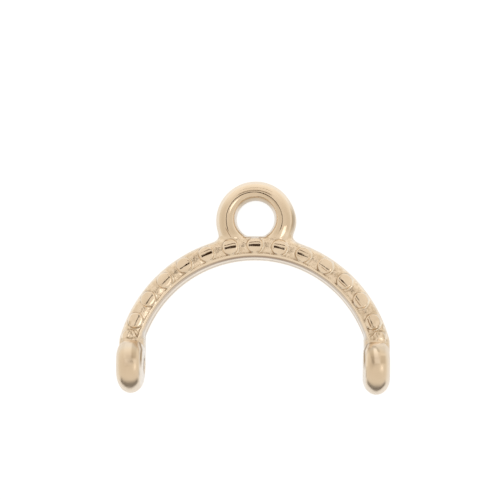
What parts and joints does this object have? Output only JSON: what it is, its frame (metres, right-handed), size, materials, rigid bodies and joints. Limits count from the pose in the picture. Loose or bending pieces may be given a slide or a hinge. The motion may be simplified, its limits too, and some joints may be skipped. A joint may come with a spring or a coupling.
{
  "type": "beadwork end cap",
  "caption": "Half-round arch with raised round beads along its front, a round loop on its crown and a thick eye at each foot, cast in one piece and plated pale rose gold.",
  "frame": {"origin": "centre of the bounding box's bottom face, on the surface that the flat back lies on", "axes": "+X to the right seen from the front, +Y from the arch's feet towards the loop, +Z out of the front face"},
  "size_m": [0.0186, 0.0148, 0.0037],
  "materials": {
    "plated_metal": "polished pale rose-gold plating"
  },
  "bodies": {
    "root": {"end_cap": "plated_metal"}
  },
  "joints": []
}
